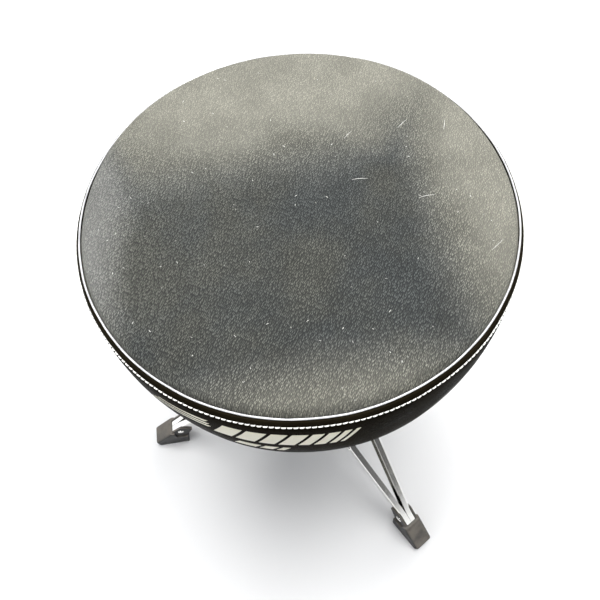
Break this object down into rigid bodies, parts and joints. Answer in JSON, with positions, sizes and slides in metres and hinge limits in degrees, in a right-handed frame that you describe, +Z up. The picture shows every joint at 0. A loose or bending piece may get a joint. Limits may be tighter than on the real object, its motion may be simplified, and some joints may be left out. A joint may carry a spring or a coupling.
{
  "type": "drum throne",
  "caption": "Round padded stool seat on a threaded height-adjusting spindle over a folding tripod of paired-strap legs with braces, a sliding collar and rubber feet.",
  "frame": {"origin": "on the floor, at the point under the axis of the tube and spindle", "axes": "+Z up along the spindle; the decorated front of the seat's wall faces -Y; the legs stand at -60, 60 and 180 degrees from +X towards +Y"},
  "size_m": [0.4361, 0.4546, 0.576],
  "materials": {
    "seat_cloth": "coarse woven velour, dark grey",
    "foam": "open-cell upholstery foam",
    "vinyl": "black upholstery vinyl, semi-gloss",
    "piping": "pale grey vinyl cord, glossy",
    "plywood": "birch plywood, unfinished",
    "dust_cloth": "black non-woven cloth",
    "zinc": "zinc plated",
    "chrome": "bright chrome plate",
    "black_steel": "black powder coat",
    "cast_metal": "cast, chrome plated over a soft grain",
    "nylon": "black nylon",
    "rubber": "moulded rubber, dusty"
  },
  "bodies": {
    "base": {"outer_tube": "chrome", "tube_bottom_cap": "nylon", "hub_casting": "cast_metal", "hub_screws": "zinc", "spindle_nut": "zinc"},
    "collar": {"brace_collar": "cast_metal", "collar_bush": "nylon"},
    "spindle_guide": {"spindle_guide_bush": "nylon"},
    "spindle": {"threaded_spindle": "zinc", "spindle_retaining_ring": "zinc"},
    "seat": {"seat_top_fabric": "seat_cloth", "seat_foam": "foam", "seat_side_cover": "vinyl", "seat_piping": "piping", "seat_board": "plywood", "seat_tee_nuts": "zinc", "seat_dust_cover": "dust_cloth", "dust_cover_staples": "zinc", "seat_plate": "black_steel", "seat_plate_screws": "zinc", "seat_socket": "cast_metal", "socket_rivets": "zinc"},
    "seat_clamp": {"seat_clamp_bolt": "chrome"},
    "spindle_lock": {"spindle_lock_bolt": "chrome"},
    "collar_clamp": {"collar_bolt": "chrome"},
    "leg_a": {"leg_a_strap_left": "chrome", "leg_a_strap_right": "chrome", "leg_a_pivot_rivet": "chrome", "leg_a_brace_studs": "chrome", "leg_a_foot": "rubber", "leg_a_foot_rivet": "chrome"},
    "brace_a": {"brace_a_strap_left": "chrome", "brace_a_strap_right": "chrome", "brace_a_collar_rivet": "chrome", "brace_a_leg_pin": "chrome"},
    "leg_b": {"leg_b_strap_left": "chrome", "leg_b_strap_right": "chrome", "leg_b_pivot_rivet": "chrome", "leg_b_brace_studs": "chrome", "leg_b_foot": "rubber", "leg_b_foot_rivet": "chrome"},
    "brace_b": {"brace_b_strap_left": "chrome", "brace_b_strap_right": "chrome", "brace_b_collar_rivet": "chrome", "brace_b_leg_pin": "chrome"},
    "leg_c": {"leg_c_strap_left": "chrome", "leg_c_strap_right": "chrome", "leg_c_pivot_rivet": "chrome", "leg_c_brace_studs": "chrome", "leg_c_foot": "rubber", "leg_c_foot_rivet": "chrome"},
    "brace_c": {"brace_c_strap_left": "chrome", "brace_c_strap_right": "chrome", "brace_c_collar_rivet": "chrome", "brace_c_leg_pin": "chrome"}
  },
  "joints": [
    {"name": "leg_a_fold", "type": "hinge", "parent": "base", "child": "leg_a", "pos_m": [0.018, -0.03118, 0.236], "axis": [0.866, 0.5, 0], "range_deg": [0, 35]},
    {"name": "leg_b_fold", "type": "hinge", "parent": "base", "child": "leg_b", "pos_m": [-0.036, 0, 0.236], "axis": [0, -1, 0], "range_deg": [0, 35]},
    {"name": "leg_c_fold", "type": "hinge", "parent": "base", "child": "leg_c", "pos_m": [0.018, 0.03118, 0.236], "axis": [-0.866, 0.5, 0], "range_deg": [0, 35]},
    {"name": "collar_slide", "type": "slide", "parent": "base", "child": "collar", "axis": [0, 0, -1], "range_m": [0, 0.05569]},
    {"name": "brace_a_fold", "type": "hinge", "parent": "collar", "child": "brace_a", "pos_m": [0.0165, -0.02858, 0.098], "axis": [0.866, 0.5, 0], "range_deg": [-37.9, 0]},
    {"name": "brace_b_fold", "type": "hinge", "parent": "collar", "child": "brace_b", "pos_m": [-0.033, 0, 0.098], "axis": [0, -1, 0], "range_deg": [-37.9, 0]},
    {"name": "brace_c_fold", "type": "hinge", "parent": "collar", "child": "brace_c", "pos_m": [0.0165, 0.02858, 0.098], "axis": [-0.866, 0.5, 0], "range_deg": [-37.9, 0]},
    {"name": "spindle_lift", "type": "slide", "parent": "base", "child": "spindle_guide", "axis": [0, 0, 1], "range_m": [-0.1051, 0.0751]},
    {"name": "seat_turn", "type": "hinge", "parent": "spindle_guide", "child": "spindle", "pos_m": [0, 0, 0.17], "axis": [0, 0, 1], "range_deg": [-7560, 5400]},
    {"name": "seat_lift_off", "type": "slide", "parent": "spindle", "child": "seat", "axis": [0, 0, 1], "range_m": [0, 0.06]},
    {"name": "seat_clamp_turn", "type": "hinge", "parent": "seat", "child": "seat_clamp", "pos_m": [-0.015, 0.02598, 0.4376], "axis": [-0.5, 0.866, 0], "range_deg": [0, 720]},
    {"name": "spindle_lock_turn", "type": "hinge", "parent": "base", "child": "spindle_lock", "pos_m": [-0.015, 0.02598, 0.2915], "axis": [-0.5, 0.866, 0], "range_deg": [0, 720]},
    {"name": "collar_clamp_turn", "type": "hinge", "parent": "collar", "child": "collar_clamp", "pos_m": [0.03, 0, 0.098], "axis": [1, 0, 0], "range_deg": [0, 720]}
  ],
  "couplings": [
    {"joint": "leg_b_fold", "follows": "leg_a_fold", "ratio": 1},
    {"joint": "leg_c_fold", "follows": "leg_a_fold", "ratio": 1},
    {"joint": "collar_slide", "follows": "leg_a_fold", "m_per_rad": 0.090836},
    {"joint": "brace_a_fold", "follows": "leg_a_fold", "ratio": -1.0801},
    {"joint": "brace_b_fold", "follows": "leg_a_fold", "ratio": -1.0801},
    {"joint": "brace_c_fold", "follows": "leg_a_fold", "ratio": -1.0801},
    {"joint": "spindle_lift", "follows": "seat_turn", "m_per_rad": 0.00079577}
  ]
}
